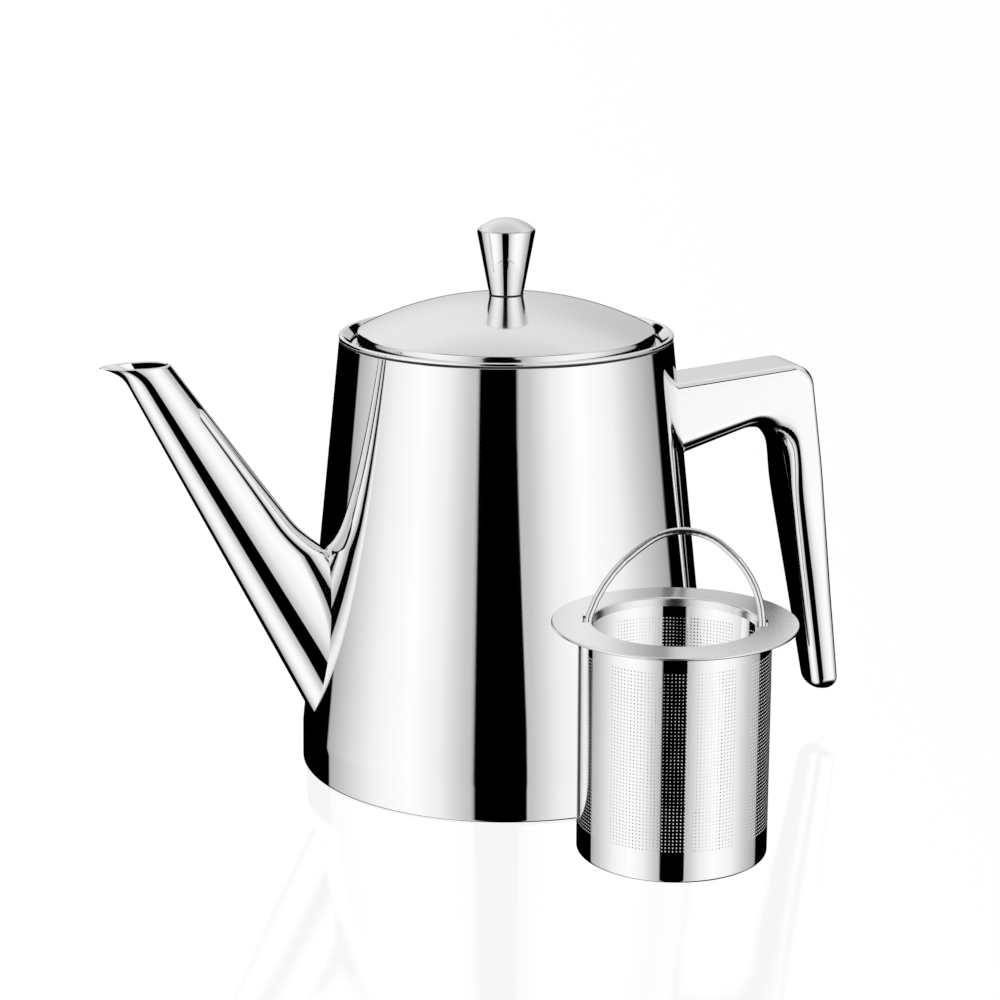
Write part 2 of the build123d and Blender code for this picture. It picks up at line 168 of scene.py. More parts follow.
def lathe(name, profile, segments=288, centre=(0, 0), sharp_deg=SHARP_DEG):
    """A closed outline of (radius, height) points spun about an upright axis."""
    angles = np.linspace(0, 2 * math.pi, segments, endpoint=False)
    verts, rings = [], []
    for r, z in profile:
        if r < 1e-6:
            rings.append([len(verts)] * segments)
            verts.append((centre[0], centre[1], z))
        else:
            rings.append(list(range(len(verts), len(verts) + segments)))
            verts += [(centre[0] + r * math.cos(t), centre[1] + r * math.sin(t), z)
                      for t in angles]
    faces = []
    for low, high in zip(rings, rings[1:] + rings[:1]):
        if low[0] == low[1] and high[0] == high[1]:
            continue
        for i in range(segments):
            j = (i + 1) % segments
            corners = [low[i], low[j], high[j], high[i]]
            faces.append(list(dict.fromkeys(corners)))
    return make_piece(name, verts, faces, sharp_deg)


def grid_piece(name, rows, closed_rows, caps=(), sharp_deg=SHARP_DEG):
    """A skin over a grid of points, with optional caps over its first and last row."""
    rows = np.array(rows, float)
    count, width = rows.shape[:2]
    verts = rows.reshape(-1, 3)
    faces = []
    last = width if closed_rows else width - 1
    for k in range(count - 1):
        for j in range(last):
            n = (j + 1) % width
            faces.append([k * width + j, k * width + n, (k + 1) * width + n, (k + 1) * width + j])
    for cap in caps:
        ring = list(range(cap % count * width, (cap % count + 1) * width))
        faces.append(ring if cap else ring[::-1])
    return make_piece(name, verts, faces, sharp_deg)


def cut(piece, cutter):
    """Take the cutter's volume out of a piece, then delete the cutter."""
    change = piece.modifiers.new("cut", "BOOLEAN")
    change.operation = "DIFFERENCE"
    change.solver = "EXACT"
    change.object = cutter
    graph = bpy.context.evaluated_depsgraph_get()
    mesh = bpy.data.meshes.new_from_object(piece.evaluated_get(graph))
    piece.modifiers.clear()
    piece.data = mesh
    bpy.data.objects.remove(cutter)
    mesh.shade_smooth()
    mesh.set_sharp_from_angle(angle=math.radians(SHARP_DEG))


def stand(piece, material, body, slot, *nodes):
    """Dress a piece, join it to its body and let it stand for its CAD nodes."""
    piece.data.materials.clear()
    piece.data.materials.append(material)
    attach(piece, body)
    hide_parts(*nodes)
    if body in ("infuser", "bail"):
        piece.visible_glossy = False


# ---- materials -----------------------------------------------------------------------
def steel(name, colour, roughness, spread, scratch_scale, scratch_depth, smear):
    """Polished or satin steel: fine marks in the roughness and in a very shallow bump."""
    material = bpy.data.materials.new(name)
    material.use_nodes = True
    nodes, links = material.node_tree.nodes, material.node_tree.links
    shader = nodes["Principled BSDF"]
    shader.inputs["Metallic"].default_value = 1.0
    place = nodes.new("ShaderNodeTexCoord")
    stretch = nodes.new("ShaderNodeMapping")
    stretch.inputs["Scale"].default_value = smear
    links.new(place.outputs["Object"], stretch.inputs["Vector"])

    marks = nodes.new("ShaderNodeTexNoise")
    marks.inputs["Scale"].default_value = scratch_scale
    marks.inputs["Detail"].default_value = 6.0
    marks.inputs["Roughness"].default_value = 0.65
    links.new(stretch.outputs["Vector"], marks.inputs["Vector"])
    blotch = nodes.new("ShaderNodeTexNoise")
    blotch.inputs["Scale"].default_value = 22.0
    blotch.inputs["Detail"].default_value = 3.0
    links.new(place.outputs["Object"], blotch.inputs["Vector"])

    both = nodes.new("ShaderNodeMath")
    both.operation = "MULTIPLY"
    links.new(marks.outputs["Fac"], both.inputs[0])
    links.new(blotch.outputs["Fac"], both.inputs[1])
    rough = nodes.new("ShaderNodeMapRange")
    rough.inputs["From Min"].default_value = 0.1
    rough.inputs["From Max"].default_value = 0.5
    rough.inputs["To Min"].default_value = roughness
    rough.inputs["To Max"].default_value = roughness + spread
    links.new(both.outputs["Value"], rough.inputs["Value"])
    links.new(rough.outputs["Result"], shader.inputs["Roughness"])

    tone = nodes.new("ShaderNodeMix")
    tone.data_type = "RGBA"
    tone.inputs["A"].default_value = (*colour, 1)
    tone.inputs["B"].default_value = (*(c * 0.95 for c in colour), 1)
    links.new(blotch.outputs["Fac"], tone.inputs["Factor"])
    links.new(tone.outputs["Result"], shader.inputs["Base Color"])

    bump = nodes.new("ShaderNodeBump")
    bump.inputs["Strength"].default_value = 1.0
    bump.inputs["Distance"].default_value = scratch_depth
    links.new(marks.outputs["Fac"], bump.inputs["Height"])
    links.new(bump.outputs["Normal"], shader.inputs["Normal"])
    return material


def seam_shade():
    """Near-black painted shade, with a fine grain, that fills a fine groove where shade falls."""
    material = bpy.data.materials.new("painted_seam_shade")
    material.use_nodes = True
    nodes, links = material.node_tree.nodes, material.node_tree.links
    shader = nodes["Principled BSDF"]
    shader.inputs["Roughness"].default_value = 0.7
    shader.inputs["Specular IOR Level"].default_value = 0.1
    grain = nodes.new("ShaderNodeTexNoise")
    grain.inputs["Scale"].default_value = 900.0
    tone = nodes.new("ShaderNodeMapRange")
    tone.inputs["To Min"].default_value = 0.01
    tone.inputs["To Max"].default_value = 0.06
    links.new(grain.outputs["Fac"], tone.inputs["Value"])
    links.new(tone.outputs["Result"], shader.inputs["Base Color"])
    return material


MIRROR = steel("mirror_steel", (0.93, 0.93, 0.935), 0.02, 0.03, 900, 0.0000004, (1, 1, 1))
LID_STEEL = steel("lid_steel", (0.87, 0.87, 0.88), 0.07, 0.05, 900, 0.0000012, (1, 1, 1))
SATIN = steel("satin_steel", (0.86, 0.86, 0.87), 0.20, 0.06, 1400, 0.0000006, (1, 1, 0.15))
WIRE = steel("wire_steel", (0.82, 0.82, 0.83), 0.14, 0.08, 1500, 0.000001, (1, 1, 1))
INNER = steel("inner_steel", (0.66, 0.66, 0.67), 0.26, 0.12, 1200, 0.000003, (1, 1, 0.3))
# Near-black painted shade for fine grooves and joints.
SEAM_SHADE = seam_shade()


# ---- pot body ------------------------------------------------------------------------
def cone_r(z):
    """Outer radius of the conical wall at height z."""
    share = (z - CONE_LOW_Z) / (CONE_TOP_Z - CONE_LOW_Z)
    return CONE_LOW_R + (CONE_TOP_R - CONE_LOW_R) * share


def pot_body():
    outline = rounded(
        [(FOOT_R - SHEET, 0), (FOOT_R, 0), (CONE_LOW_R, CONE_LOW_Z), (CONE_TOP_R, CONE_TOP_Z),
         (CONE_TOP_R - SHEET, CONE_TOP_Z), (CONE_LOW_R - SHEET, CONE_LOW_Z)],
        [0, FOOT_EDGE_R, FOOT_BLEND_R, 0, 0, FOOT_BLEND_R])
    wall = lathe("pot_wall", outline, 360)
    cut(wall, spout_block("spout_hole", SPOUT_WALL))
    stand(wall, MIRROR, "pot", "polished_steel", "pot_body")


def base_disc():
    rim_r = FOOT_R - SHEET
    rim_top_r = rim_r - BASE_RIM_LEAN
    disc = lathe("base_plate", rounded(
        [(0, 0), (rim_r, 0), (rim_top_r, BASE_RIM_H), (rim_top_r - SHEET, BASE_RIM_H),
         (rim_r - SHEET, SHEET), (0, SHEET)],
        [0, 0.2, 0, 0, 1.0, 0]))
    stand(disc, SATIN, "pot", "satin_steel", "base_disc")


def mouth_ring():
    wall_r = COLLAR_R + SHEET
    ring = lathe("mouth_gallery", rounded(
        [(CONE_TOP_R - SHEET, CONE_TOP_Z), (CONE_TOP_R, CONE_TOP_Z), (GROOVE_R, GROOVE_Z),
         (BEAD_R, BEAD_LOW_Z), (BEAD_R, BEAD_TOP_Z), (BEAD_R - BEAD_T, BEAD_TOP_Z),
         (FUNNEL_R, FUNNEL_Z), (FUNNEL_R, LEDGE_Z), (COLLAR_R, LEDGE_Z),
         (COLLAR_R, SEAT_Z - SHEET), (wall_r, SEAT_Z - SHEET), (wall_r, LEDGE_Z - SHEET),
         (FUNNEL_R + SHEET, LEDGE_Z - SHEET), (FUNNEL_R + SHEET, FUNNEL_UNDER_Z)],
        [0, 0, 0.1, 0.2, 0.5, 0.5, 0.5, 0.3, 0.6, 0, 0, 0.3, 0.4, 0.3]), 360)
    stand(ring, MIRROR, "pot", "polished_steel", "mouth_ring")
    # Painted shade: a near-black band nearly fills the groove between the wall and the bead,
    # standing in for the shade and dark reflection there.
    low_z, back_r = CONE_TOP_Z + 0.04, GROOVE_R - 0.15
    seam = lathe("mouth_seam_shade", [(back_r, low_z), (CONE_TOP_R - 0.05, low_z),
                                (CONE_TOP_R - 0.08, BEAD_LOW_Z - 0.15),
                                (back_r, BEAD_LOW_Z - 0.1)], 360)
    stand(seam, SEAM_SHADE, "pot", "inner_steel", "mouth_ring")
    ring.visible_glossy = seam.visible_glossy = False
    seat = lathe("infuser_seat", rounded(
        [(SEAT_HOLE_R, SEAT_Z - SEAT_LIP_H), (SEAT_HOLE_R + SHEET, SEAT_Z - SEAT_LIP_H),
         (SEAT_HOLE_R + SHEET, SEAT_Z - SHEET), (COLLAR_R, SEAT_Z - SHEET),
         (COLLAR_R, SEAT_Z + SEAT_RIM_H), (COLLAR_R - SHEET, SEAT_Z + SEAT_RIM_H),
         (COLLAR_R - SHEET, SEAT_Z), (SEAT_HOLE_R, SEAT_Z)],
        [0, 0, 0.4, 0, 0, 0, 0.4, 0.7]))
    stand(seat, INNER, "pot", "inner_steel", "seat_ring")


# ---- spout ---------------------------------------------------------------------------
SPOUT_AROUND = 144
SPOUT_LOW_Z, SPOUT_BLOCK_TOP_Z = 16.0, 112.0
SPOUT_ROOT_LOW_Z, SPOUT_ROOT_HIGH_Z = 12.0, 110.0       # its joint with the wall is between these


def spout_point(angle, z, inset):
    """A point of the spout's skin at height z, angle 0 being its back and pi its nose."""
    slant_front = inset * math.hypot(1, SPOUT_FRONT_SLOPE)
    slant_back = inset * math.hypot(1, SPOUT_BACK_SLOPE)
    front = SPOUT_FRONT[0] + SPOUT_FRONT_SLOPE * (z - SPOUT_FRONT[1])
    back = SPOUT_BACK[0] + SPOUT_BACK_SLOPE * (z - SPOUT_BACK[1])
    middle = (front + back) / 2
    lip_h = SPOUT_RIM_Z - SPOUT_EDGE_H - SPOUT_LIP_LOW_Z
    lip = SPOUT_LIP * max(0.0, (z - SPOUT_LIP_LOW_Z) / lip_h) ** SPOUT_LIP_CURL
    bend = min(1.0, max(0.0, (SPOUT_FLARE_TOP_Z - z) / SPOUT_FLARE_H))
    front_l = middle - front + lip - slant_front
    back_l = back + SPOUT_FLARE * bend ** 2 - middle - slant_back
    share = min(1.0, (SPOUT_RIM_Z - z) / (SPOUT_RIM_Z - SPOUT_ROOT_Z))
    half_w = SPOUT_HALF_W_RIM + (SPOUT_HALF_W_ROOT - SPOUT_HALF_W_RIM) * share - inset
    reach = back_l if math.cos(angle) > 0 else front_l
    return np.array([middle + reach * math.cos(angle), half_w * math.sin(angle), z])


def spout_root_z(angle, inset):
    """Height at which one line of the spout's skin meets the middle of the pot's wall."""
    low, high = SPOUT_ROOT_LOW_Z, SPOUT_ROOT_HIGH_Z
    for _ in range(40):
        middle = (low + high) / 2
        x, y, z = spout_point(angle, middle, inset)
        if math.hypot(x, y) > cone_r(z) - SHEET / 2:
            high = middle
        else:
            low = middle
    return high


def spout_heights(count):
    """Shares of the way from root to rim, closer together in the lip."""
    straight = np.linspace(0, 0.93, count)
    return np.concatenate([straight, np.linspace(0.935, 1.0, 22)])


def spout_block(name, inset):
    """The space inside one skin of the spout as a solid, from inside the pot upwards."""
    angles = np.linspace(0, 2 * math.pi, SPOUT_AROUND, endpoint=False)
    heights = np.linspace(SPOUT_LOW_Z, SPOUT_BLOCK_TOP_Z, 60)
    rows = [[spout_point(t, z, inset) for t in angles] for z in heights]
    return grid_piece(name, rows, True, caps=(0, -1))


def spout():
    angles = np.linspace(0, 2 * math.pi, SPOUT_AROUND, endpoint=False)
    skins = []
    for inset in (0.0, SPOUT_WALL):
        roots = [spout_root_z(t, inset) for t in angles]
        top = SPOUT_RIM_Z - SPOUT_EDGE_H
        skins.append([[spout_point(t, root + (top - root) * s, inset)
                       for t, root in zip(angles, roots)] for s in spout_heights(90)])
    outer, inner = skins
    rim = []
    for s in (0.15, 0.35, 0.65, 0.85):
        rise = SPOUT_EDGE_H * math.sin(math.pi * s)
        lift = np.array([0, 0, rise])
        rim.append([p + (q - p) * s + lift for p, q in zip(outer[-1], inner[-1])])
    rows = outer + rim + inner[::-1]
    piece = grid_piece("spout_tube", rows, True)
    close_ring(piece, len(rows) - 1)
    stand(piece, MIRROR, "pot", "polished_steel", "spout")


def close_ring(piece, last_row):
    """Join the last row of a closed grid back to its first row."""
    mesh = piece.data
    faces = [list(p.vertices) for p in mesh.polygons]
    start = last_row * SPOUT_AROUND
    for j in range(SPOUT_AROUND):
        n = (j + 1) % SPOUT_AROUND
        faces.append([start + j, start + n, n, j])
    verts = [tuple(v.co) for v in mesh.vertices]
    mesh.clear_geometry()
    mesh.from_pydata(verts, [], faces)
    mesh.shade_smooth()
    mesh.set_sharp_from_angle(angle=math.radians(SHARP_DEG))


# ---- handle --------------------------------------------------------------------------
HANDLE_TIP_Z = 9.7
HANDLE_TOP = rounded([(40, 110.24), (93.4, 115.1), (107.8, HANDLE_TIP_Z),
                      (103.5, HANDLE_TIP_Z)],
                     [0, 6.5, 3.8, 0], closed=False)
HANDLE_UNDER = rounded([(40, 84.83), (83.8, 98.8), (99.3, HANDLE_TIP_Z), (103.5, HANDLE_TIP_Z)],
                       [0, 11.0, 3.8, 0], closed=False)
HANDLE_TIP_ROUND = 4.6
# Half widths of the front outline at the pot, at the bend and at the tip.
ROOT_HALF_W, ROOT_Z = 10.7, 120.0
BEND_HALF_W, BEND_Z = 11.1, 82.0
TIP_HALF_W = 6.6
BLEND_H = 3.0               # height over which the arm's shape turns into the grip's
UNDER_BLEND_Z = 88.0
TOP_ROUND = 3.0
UNDER_DEEP, ARM_UNDER_WIDE, GRIP_UNDER_WIDE, UNDER_CROWN = 7.0, 7.5, 3.5, 0.3


def run_lengths(path):
    """Length along a path at each of its points."""
    steps = np.linalg.norm(np.diff(np.array(path), axis=0), axis=1)
    return np.concatenate([[0], np.cumsum(steps)])


def nearest_length(path, target):
    """Length along a path at the place closest to a target point."""
    lengths = run_lengths(path)
    fine = np.linspace(0, lengths[-1], 4000)
    xs = np.interp(fine, lengths, [p[0] for p in path])
    zs = np.interp(fine, lengths, [p[1] for p in path])
    return fine[np.argmin(np.hypot(xs - target[0], zs - target[1]))]


def walk(path, stations, counts):
    """Points along a path, evenly spread between each pair of stations."""
    lengths = run_lengths(path)
    wanted = np.concatenate([np.linspace(a, b, n, endpoint=False)
                             for a, b, n in zip(stations, stations[1:], counts)] + [stations[-1:]])
    xs = np.interp(wanted, lengths, [p[0] for p in path])
    zs = np.interp(wanted, lengths, [p[1] for p in path])
    return np.stack([xs, zs], axis=1)


def handle_half_width(z):
    """Half of the handle's width: steady on the arm, tapering down the grip to a round tip."""
    arm = BEND_HALF_W + (ROOT_HALF_W - BEND_HALF_W) * (z - BEND_Z) / (ROOT_Z - BEND_Z)
    grip = TIP_HALF_W + (BEND_HALF_W - TIP_HALF_W) * (z - HANDLE_TIP_Z) / (BEND_Z - HANDLE_TIP_Z)
    blend = 1 / (1 + math.exp((z - BEND_Z) / BLEND_H))
    width = arm * (1 - blend) + grip * blend
    rise = min(HANDLE_TIP_ROUND, max(0.0, z - HANDLE_TIP_Z))
    left = HANDLE_TIP_ROUND - rise
    return width - HANDLE_TIP_ROUND + math.sqrt(HANDLE_TIP_ROUND ** 2 - left ** 2)


def handle_section(depth, half_w, wide):
    """Half of the handle's section as (depth, width) points, from the top's middle line
    round the side to the underside's middle line."""
    top_r = min(TOP_ROUND, 0.3 * depth)
    deep, crown = min(UNDER_DEEP, 0.62 * depth), min(UNDER_CROWN, 0.03 * depth)
    wide = min(wide, half_w * 0.62)
    points = [(0.0, (half_w - top_r) * s) for s in (0, 0.3, 0.6, 0.9)]
    for t in np.linspace(0, math.pi / 2, 10):
        points.append((top_r - top_r * math.cos(t), half_w - top_r + top_r * math.sin(t)))
    side_end = depth - crown - deep
    for s in (0.08, 0.5, 0.92):
        points.append((top_r + (side_end - top_r) * s, half_w))
    for t in np.linspace(0, math.pi / 2, 24):
        points.append((side_end + deep * math.sin(t), half_w - wide + wide * math.cos(t)))
    flat = half_w - wide
    for s in (0.85, 0.6, 0.4, 0.2, 0.0):
        points.append((depth - crown * s ** 2, flat * s))
    return points


def handle_rows():
    """Rows of section points from inside the pot's wall to the tip."""
    features = [((40, 110.2), (40, 84.9)), ((84.0, 114.2), (73.5, 95.4)),
                ((91.9, 113.2), (81.0, 94.1)), ((95.0, 103.5), (85.6, 88.3)),
                ((106.9, 16.5), (98.1, 16.5)),
                ((103.5, HANDLE_TIP_Z), (103.5, HANDLE_TIP_Z))]
    counts = [60, 24, 24, 70, 28]
    top = walk(HANDLE_TOP, [nearest_length(HANDLE_TOP, a) for a, _ in features], counts)
    under = walk(HANDLE_UNDER, [nearest_length(HANDLE_UNDER, b) for _, b in features], counts)
    rows = []
    for a, b in zip(top, under):
        depth = np.linalg.norm(b - a)
        along = (b - a) / max(depth, 1e-6)
        middle_z = (a[1] + b[1]) / 2
        half_w = handle_half_width(middle_z)
        grip = 1 / (1 + math.exp((middle_z - UNDER_BLEND_Z) / BLEND_H))
        under_wide = ARM_UNDER_WIDE + (GRIP_UNDER_WIDE - ARM_UNDER_WIDE) * grip
        row = []
        for deep, wide in handle_section(max(depth, 0.02), half_w, under_wide):
            x, z = a + along * deep
            row.append([x, wide * handle_half_width(z) / half_w, z])
        rows.append(row)
    return trim_to_wall(np.array(rows), counts[0])


def trim_to_wall(rows, arm_rows):
    """Start every line of the arm in the middle of the pot's wall."""
    trimmed = rows.copy()
    stations = np.arange(arm_rows + 1)
    for j in range(rows.shape[1]):
        line = rows[:arm_rows + 1, j]
        wall = np.array([cone_r(z) for z in line[:, 2]]) - SHEET / 2
        outside = np.hypot(line[:, 0], line[:, 1]) - wall
        k = int(np.argmax(outside > 0))
        start = k - outside[k] / (outside[k] - outside[k - 1])
        wanted = np.linspace(start, arm_rows, arm_rows + 1)
        for axis in range(3):
            trimmed[:arm_rows + 1, j, axis] = np.interp(wanted, stations, line[:, axis])
    return trimmed


def handle():
    rows = handle_rows()
    for side, name, node in ((1, "handle_left", "handle_half_left"),
                             (-1, "handle_right", "handle_half_right")):
        half = rows * np.array([1, side, 1])
        if side > 0:
            half = half[:, ::-1]
        piece = grid_piece(name, half, True, caps=(0,), sharp_deg=32)
        stand(piece, MIRROR, "pot", "polished_steel", node)


# ---- lid -----------------------------------------------------------------------------
def dome_profile():
    """Outline of the lid's sheet from the screw hole over the dome, round the edge and back."""
    def skin(radius, rim_r, edge):
        centre_z = DOME_TOP_Z - DOME_SPHERE_R
        rs = np.linspace(SCREW_HOLE_R, rim_r, 90)
        rs = rs[rs < rim_r - edge * 1.35]       # stop short of the rounding's start
        arc = [(r, centre_z + math.sqrt(radius ** 2 - r ** 2)) for r in rs]
        corner = (rim_r, centre_z + math.sqrt(radius ** 2 - rim_r ** 2))
        return arc + [tuple(p) for p in arc_points(corner, arc[-1], (rim_r, LEDGE_Z), edge)]
    outer = skin(DOME_SPHERE_R, LID_R, LID_EDGE_ROUND)
    inner = skin(DOME_SPHERE_R - SHEET, LID_R - SHEET, LID_EDGE_ROUND_IN)
    rim_top = LEDGE_Z + SHEET
    foot = [(LID_R, rim_top + 0.15), (LID_R + 0.15, rim_top), (LID_RIM_R - 0.3, rim_top),
            (LID_RIM_R - 0.08, rim_top - 0.1), (LID_RIM_R, rim_top - 0.3),
            (LID_RIM_R, LEDGE_Z + 0.3), (LID_RIM_R - 0.3, LEDGE_Z), (LID_R - SHEET, LEDGE_Z)]
    return outer + foot + inner[::-1]


def lid():
    stand(lathe("lid_skin", dome_profile(), 360), LID_STEEL, "lid", "satin_steel", "lid_dome")
    centre_z = DOME_TOP_Z - DOME_SPHERE_R
    under_r = DOME_SPHERE_R - SHEET

    def under(r, drop=0.0):
        return (r, centre_z + math.sqrt((under_r - drop) ** 2 - r ** 2))
    weld = [under(r) for r in np.linspace(SKIRT_WELD_R, SKIRT_R, 8)]
    back = [under(r, SHEET) for r in np.linspace(SKIRT_R - SHEET, SKIRT_WELD_R, 8)]
    profile = weld + [(SKIRT_R, SKIRT_LOW_Z), (SKIRT_R - SHEET, SKIRT_LOW_Z)] + back
    stand(lathe("lid_collar", profile), INNER, "lid", "inner_steel", "lid_ring")


def knob():
    low_r, floor_h, seam_h = KNOB_LOW_R, 2.0, 0.3
    top_r = node_box("knob_shell")[1][0]
    top_z = node_box("knob_shell")[1][2]
    cap_top_z = node_box("knob_cap")[1][2]
    foot_z = DOME_TOP_Z - DOME_SPHERE_R + math.sqrt(DOME_SPHERE_R ** 2 - low_r ** 2)
    shell = lathe("knob_cone", rounded(
        [(SCREW_HOLE_R, foot_z), (low_r, foot_z), (top_r, top_z), (top_r - SHEET, top_z),
         (low_r - SHEET + 0.2, foot_z + floor_h), (SCREW_HOLE_R, foot_z + floor_h)],
        [0, 0.15, 0.25, 0, 0, 0]), 192)
    stand(shell, MIRROR, "lid", "polished_steel", "knob_shell")
    # A thin near-black ring of painted shade in the crease where the knob meets the lid.
    seam = lathe("knob_seam_shade", [(low_r - 0.2, foot_z), (low_r + 0.1, foot_z),
                               (low_r + 0.1, foot_z + seam_h), (low_r - 0.2, foot_z + seam_h)], 96)
    stand(seam, SEAM_SHADE, "lid", "inner_steel", "knob_shell")
    rise = cap_top_z - top_z
    cap_r = (top_r ** 2 + rise ** 2) / (2 * rise)
    centre_z = cap_top_z - cap_r
    edge, spigot_r, spigot_t, spigot_h = 0.45, top_r - 1.2, 0.8, 1.6

    def cap_skin(radius, reach):
        rs = np.linspace(0, reach, 40)
        return [(r, centre_z + math.sqrt(radius ** 2 - r ** 2)) for r in rs]
    outer = cap_skin(cap_r, top_r - edge)
    inner = cap_skin(cap_r - SHEET, top_r - 3 * SHEET)
    profile = outer + [(top_r - 0.15, top_z + 0.22), (top_r - 0.05, top_z + 0.02)]
    profile += [(spigot_r, top_z - 0.02), (spigot_r, top_z - spigot_h),
                (spigot_r - spigot_t, top_z - spigot_h)]
    cap = lathe("knob_top", profile + inner[::-1], 192, sharp_deg=40)
    stand(cap, SATIN, "lid", "satin_steel", "knob_cap")


# ---- infuser -------------------------------------------------------------------------
def turned(points, extra_turn=0.0):
    """Move points drawn on the origin to where the infuser stands, facing its own way."""
    turn = INFUSER_TURN + extra_turn
    points = np.array(points, float)
    x = points[..., 0] * math.cos(turn) - points[..., 1] * math.sin(turn)
    y = points[..., 0] * math.sin(turn) + points[..., 1] * math.cos(turn)
    return np.stack([x + BASKET_CENTRE[0], y + BASKET_CENTRE[1], points[..., 2]], axis=-1)


PANELS = 4
PANEL_ARC = math.radians(78)
HOLE_COLUMNS, HOLE_ROWS = 36, 51
PANEL_LOW_Z, PANEL_HIGH_Z = 8.4, 57.8
HOLE_R = 0.23
# One hole's cell on a half-step grid: its eight border points, in order round the hole.
CELL_BORDER = [(2, 1), (2, 2), (1, 2), (0, 2), (0, 1), (0, 0), (1, 0), (2, 0)]


def perforated(name, columns, rows, hole, place, keep=lambda i, j: True):
    """A thin sheet with a hole in every kept cell. place(u, v, side) gives a point of the
    sheet, u and v counted in cells and side 0 on the outer skin and 1 on the inner."""
    verts, index, faces, outline = [], {}, [], {}

    def vertex(u, v, side):
        key = (round(u * 1000), round(v * 1000), side)
        if key not in index:
            index[key] = len(verts)
            verts.append(place(u, v, side))
        return index[key]
    angles = [math.atan2(b - 1, a - 1) for a, b in CELL_BORDER]
    for i in range(columns):
        for j in range(rows):
            if not keep(i, j):
                continue
            skins = []
            for side in (0, 1):
                border = [vertex(i + a / 2, j + b / 2, side) for a, b in CELL_BORDER]
                hole_ring = [vertex(i + 0.5 + hole * math.cos(t), j + 0.5 + hole * math.sin(t),
                                    side) for t in angles]
                skins.append((border, hole_ring))
                for k in range(8):
                    n = (k + 1) % 8
                    quad = [border[k], border[n], hole_ring[n], hole_ring[k]]
                    faces.append(quad if side == 0 else quad[::-1])
            for k in range(8):
                n = (k + 1) % 8
                faces.append([skins[0][1][k], skins[0][1][n], skins[1][1][n], skins[1][1][k]])
                edge = frozenset((skins[0][0][k], skins[0][0][n]))
                wall = [skins[0][0][n], skins[0][0][k], skins[1][0][k], skins[1][0][n]]
                if edge in outline:
                    del outline[edge]
                else:
                    outline[edge] = wall
    faces += list(outline.values())
    return make_piece(name, verts, faces)


def basket_panel(number):
    """One perforated panel of the basket's wall."""
    start = number * math.pi / 2 - PANEL_ARC / 2
    pitch_z = (PANEL_HIGH_Z - PANEL_LOW_Z) / HOLE_ROWS
    pitch_arc = PANEL_ARC / HOLE_COLUMNS

    def place(u, v, side):
        r = BASKET_R - side * BASKET_SHEET
        t = start + u * pitch_arc
        return turned((r * math.cos(t), r * math.sin(t), PANEL_LOW_Z + v * pitch_z))
    panel = perforated(f"basket_panel_{number + 1}", HOLE_COLUMNS, HOLE_ROWS, HOLE_R, place)
    set_round_normals(panel)
    stand(panel, MIRROR, "infuser", "polished_steel", "basket_wall")


SKIN_FACING = 0.97          # faces this near to the radial direction belong to a skin


def set_round_normals(piece):
    """Exact normals for the skins of a sheet rolled round the basket's axis."""
    mesh = piece.data
    flat = np.zeros(len(mesh.polygons) * 3)
    mesh.polygons.foreach_get("normal", flat)
    flat = flat.reshape(-1, 3)
    counts = np.array([p.loop_total for p in mesh.polygons])
    corner = np.zeros(len(mesh.loops), int)
    mesh.loops.foreach_get("vertex_index", corner)
    co = np.zeros(len(mesh.vertices) * 3)
    mesh.vertices.foreach_get("co", co)
    spoke = co.reshape(-1, 3)[corner] - BASKET_CENTRE * MM
    spoke[:, 2] = 0
    spoke /= np.linalg.norm(spoke, axis=1)[:, None]
    own = np.repeat(flat, counts, axis=0)
    facing = (own * spoke).sum(axis=1)
    outward, inward = (facing > SKIN_FACING)[:, None], (facing < -SKIN_FACING)[:, None]
    normals = np.where(outward, spoke, np.where(inward, -spoke, own))
    mesh.normals_split_custom_set(normals.tolist())


def basket_frame():
    """The plain part of the basket's wall: top band, foot band and four upright strips."""
    inner = BASKET_R - BASKET_SHEET
    columns, strip = HOLE_COLUMNS * 2, 6        # steps across one panel and one upright strip
    stops = []
    for number in range(PANELS):
        start = number * math.pi / 2 - PANEL_ARC / 2
        stops += list(start + np.arange(columns) * PANEL_ARC / columns)
        gap = math.pi / 2 - PANEL_ARC
        stops += list(start + PANEL_ARC + np.arange(strip) * gap / strip)
    lip_r, foot_round, foot_top_z = BASKET_R - BASKET_LIP, 0.7, 1.2
    foot = [(lip_r, BASKET_SHEET), (lip_r, 0),
            *arc_points((BASKET_R, 0), (lip_r, 0), (BASKET_R, BASKET_H), foot_round, 15)]
    heights = [foot_top_z, PANEL_LOW_Z, PANEL_HIGH_Z, BASKET_H - 0.3, BASKET_H]
    profile = [tuple(p) for p in foot] + [(BASKET_R, z) for z in heights]
    profile += [(inner, z) for z in heights[::-1]] + [(inner, BASKET_SHEET)]
    n, m = len(profile), len(stops)
    verts = [turned((r * math.cos(t), r * math.sin(t), z)) for r, z in profile for t in stops]
    outer, inside = len(foot) + 1, n - 4
    faces = []
    for i in range(n):
        k = (i + 1) % n
        for j in range(m):
            l = (j + 1) % m
            if i in (outer, inside) and j % (columns + strip) < columns:
                continue
            faces.append([i * m + j, i * m + l, k * m + l, k * m + j])
    for number in range(PANELS):
        first = number * (columns + strip)
        for j in range(first, first + columns):
            l = (j + 1) % m
            faces.append([outer * m + j, outer * m + l, (inside + 1) * m + l, (inside + 1) * m + j])
            faces.append([(outer + 1) * m + l, (outer + 1) * m + j, inside * m + j, inside * m + l])
        for j, turn_round in ((first, False), ((first + columns) % m, True)):
            wall = [outer * m + j, (inside + 1) * m + j, inside * m + j, (outer + 1) * m + j]
            faces.append(wall[::-1] if turn_round else wall)
    piece = make_piece("basket_bands", verts, faces)
    stand(piece, MIRROR, "infuser", "polished_steel", "basket_wall")


